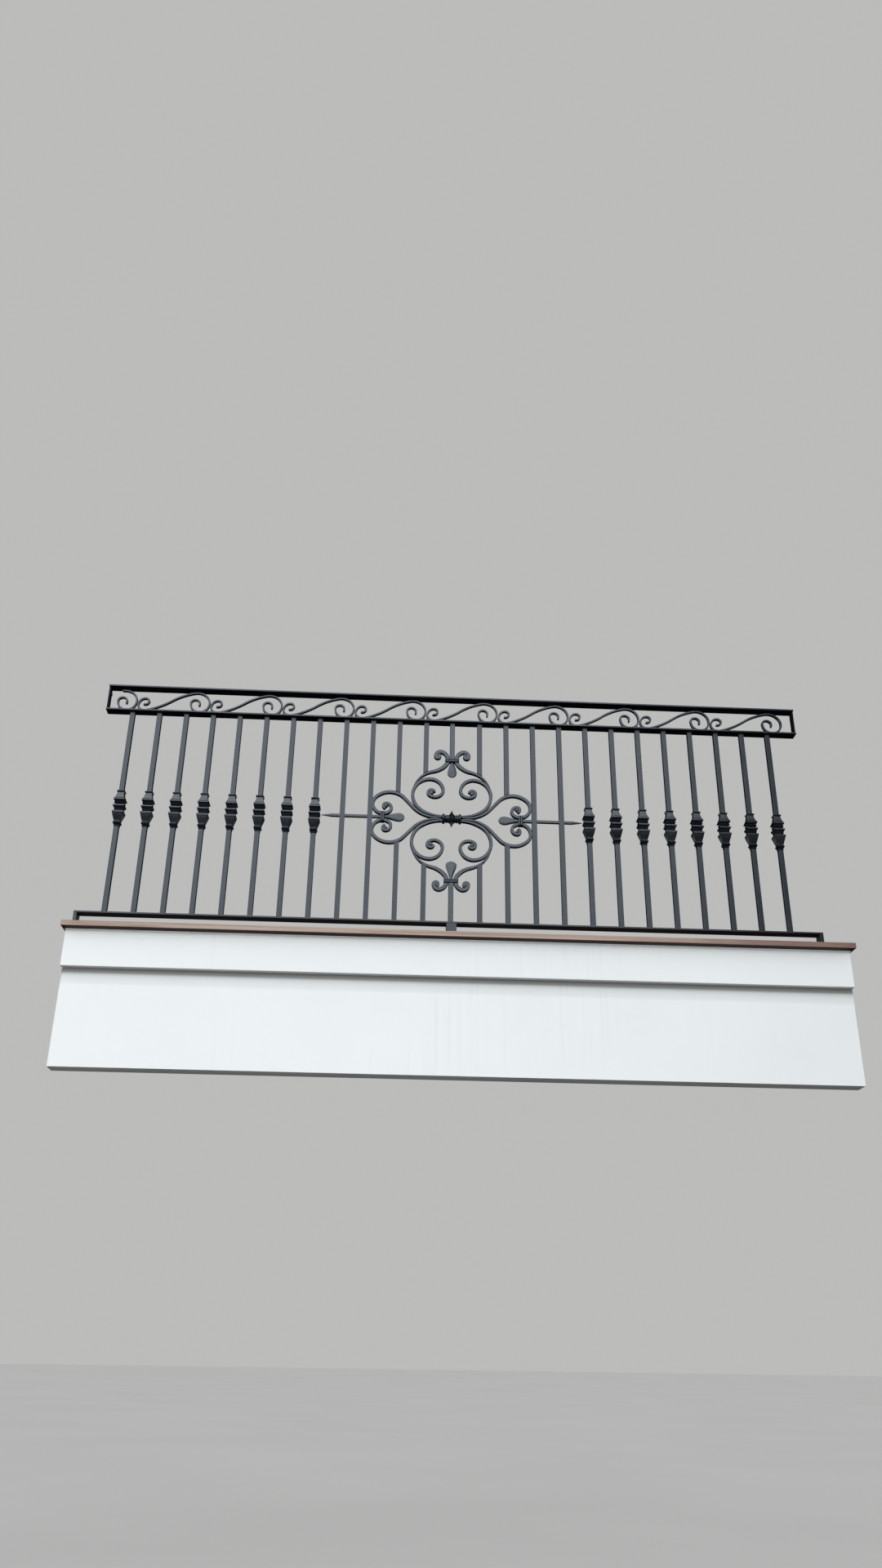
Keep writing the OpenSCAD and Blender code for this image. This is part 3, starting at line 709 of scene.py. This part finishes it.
for material, ease, segments, names in (
        (DRAWN, 0.9, 2, ("top_rail", "frieze_rail", "bottom_rail", "foot_left",
                         "foot_middle", "foot_right")),
        # The end bars of the frieze take the darker steel as painted shade
        (SHADED_STEEL, 0.9, 2, ("frieze_end_left", "frieze_end_right")),
        (DRAWN, 1.2, 2, ("pickets_left", "pickets_right", "pierced_pickets_left",
                         "pierced_pickets_right", "short_pickets_upper",
                         "short_pickets_lower")),
        (HARDWOOD, 2.2, 3, ("sill_board",)),
        (WHITE, 1.4, 2, ("fascia_band", "fascia_board", "fascia_return_left",
                         "fascia_return_right", "soffit_board")),
        (SOFTWOOD, 2.5, 3, ("header_beam",))):
    for name in names:
        dress(name, material, ease, segments)

# How far the cove reaches in front of the fascia and below the sill
COVE_REACH, COVE_DROP, COVE_STEPS = 12.0, 11.4, 8


# Painted cove that closes the corner under the nose of the sill
def cove():
    low, high = mm_box("fascia_band")
    back, nose = low[1] + 0.5, low[1] - COVE_REACH
    top, lip, foot = high[2] - 0.2, high[2] - 1.6, high[2] - COVE_DROP
    outline = [(back, top), (nose, top), (nose, lip)]
    for k in range(1, COVE_STEPS):
        t = math.radians(90 * k / COVE_STEPS)
        outline.append((nose + 11.0 * math.sin(t), lip - 8.4 * (1 - math.cos(t))))
    outline += [(low[1] - 0.8, foot), (back, foot)]
    loops = [[(x, y, z) for y, z in outline] for x in (low[0] + 1.0, high[0] - 1.0)]
    piece("sill_cove", [loft(loops)], WHITE, (), 30)


cove()

# Level and half width of the floor, in metres
FLOOR_Z, FLOOR_W = -1.75, 60


# Plain pale floor with a light of its own, so that the part throws no shadow on it
def stage_floor():
    mesh = bpy.data.meshes.new("floor")
    mesh.from_pydata([(x * FLOOR_W, y * FLOOR_W, FLOOR_Z)
                      for x, y in ((-1, -1), (1, -1), (1, 1), (-1, 1))], [], [(0, 1, 2, 3)])
    ob = bpy.data.objects.new("floor", mesh)
    SCENE.collection.objects.link(ob)
    s = Shade("floor_pale")
    tone = s.ramp(s.noise(0.6, 3.0, 0.5), (0.3, (0.70, 0.675, 0.655)),
                  (0.7, (0.73, 0.705, 0.685)))
    mesh.materials.append(s.finish(tone, 0.9, s.bump(s.noise(9.0, 3.0, 0.5), 0.05, 0.002)))
    ob.visible_diffuse = False
    ob.visible_glossy = False
    ob.visible_shadow = False
    aside = bpy.data.collections.new("floor_aside")
    alone = bpy.data.collections.new("floor_alone")
    for group, state in ((aside, "EXCLUDE"), (alone, "INCLUDE")):
        group.objects.link(ob)
        group.collection_objects[0].light_linking.link_state = state
    sun = bpy.data.objects.new("floor_light", bpy.data.lights.new("floor_light", "SUN"))
    sun.data.energy = 0.75
    sun.data.angle = math.radians(120)
    sun.light_linking.receiver_collection = alone
    SCENE.collection.objects.link(sun)
    return aside


ASIDE = stage_floor()


# Studio sky that lights the matt surfaces, plain grey where the camera sees it
def sky():
    world = bpy.data.worlds.new("studio")
    world.use_nodes = True
    SCENE.world = world
    world.cycles_visibility.glossy = False
    t = world.node_tree
    t.nodes.clear()

    def node(kind, *links, **props):
        n = t.nodes.new(kind)
        for key, value in props.items():
            setattr(n, key, value)
        for socket, value in links:
            if isinstance(value, bpy.types.NodeSocket):
                t.links.new(value, n.inputs[socket])
            else:
                n.inputs[socket].default_value = value
        return n

    split = node("ShaderNodeSeparateXYZ",
                 (0, node("ShaderNodeTexCoord").outputs["Generated"]))
    height = node("ShaderNodeMath", (0, split.outputs["Z"]), (1, 0.5), (2, 0.5),
                  operation="MULTIPLY_ADD")
    ramp = node("ShaderNodeValToRGB", (0, height.outputs[0]))
    e = ramp.color_ramp.elements
    e[0].position, e[0].color = 0.475, (0.050, 0.048, 0.045, 1)
    e[1].position, e[1].color = 0.56, (0.93, 0.97, 1.0, 1)
    top = e.new(0.95)
    top.color = (0.42, 0.44, 0.46, 1)
    front = node("ShaderNodeMapRange", (0, split.outputs["Y"]), (1, 0.6), (2, -0.7),
                 (3, 0.45), (4, 1.15))
    light = node("ShaderNodeBackground", (0, ramp.outputs["Color"]), (1, front.outputs[0]))
    shown = node("ShaderNodeBackground", (0, (0.50, 0.50, 0.495, 1)))
    path = node("ShaderNodeLightPath")
    mix = node("ShaderNodeMixShader", (0, path.outputs["Is Camera Ray"]),
               (1, light.outputs[0]), (2, shown.outputs[0]))
    node("ShaderNodeOutputWorld", ("Surface", mix.outputs[0]))


sky()

# Kind, name, place, target, width and height in metres, radiance, colour
MATT, GLOSSY = "matt", "glossy"
LIGHTS = (
    (MATT, "softbox_front", (-1.2, -7.0, 0.45), (0, 0, 0.2), 8.6, 3.9, 2.10,
     (0.955, 0.98, 0.99)),
    (MATT, "softbox_low", (-0.8, -4.2, -2.3), (0, 0, 0.3), 8.0, 2.6, 1.02,
     (0.95, 0.98, 1.0)),
    (MATT, "softbox_back", (1.5, 6.5, 3.4), (0, 0, 0.3), 7.0, 4.0, 1.7,
     (0.98, 0.985, 1.0)),
    (GLOSSY, "panel_front", (-2.4, -5.25, 5.95), (-2.4, 0, 1.95), 10.6, 9.7, 2.78,
     (0.835, 0.925, 1.0)),
    (GLOSSY, "panel_back", (0, 6.0, 1.4), (0, 0, 1.0), 14.0, 1.5, 0.35,
     (0.93, 0.97, 1.0)),
    (MATT, "softbox_left", (-6.5, 0.2, 1.6), (0, 0.2, 0.2), 5.0, 4.0, 0.85,
     (0.97, 0.98, 1.0)),
    (MATT, "softbox_right", (6.5, 0.2, 1.6), (0, 0.2, 0.2), 5.0, 4.0, 0.85,
     (0.97, 0.98, 1.0)))


# A softbox that lights matt surfaces, or a panel that only the glossy paint reflects
def area(kind, name, location, target, size, size_y, radiance, colour):
    data = bpy.data.lights.new(name, "AREA")
    data.shape = "RECTANGLE"
    data.size, data.size_y = size, size_y
    data.energy = radiance * math.pi * size * size_y
    data.color = colour
    ob = bpy.data.objects.new(name, data)
    SCENE.collection.objects.link(ob)
    ob.location = location
    aim = Vector(target) - Vector(location)
    ob.rotation_euler = aim.to_track_quat("-Z", "Y").to_euler()
    ob.visible_camera = False
    ob.light_linking.receiver_collection = ASIDE
    ob.visible_diffuse = kind == MATT
    ob.visible_glossy = kind == GLOSSY


for light in LIGHTS:
    area(*light)
SCENE.view_settings.view_transform = "Standard"
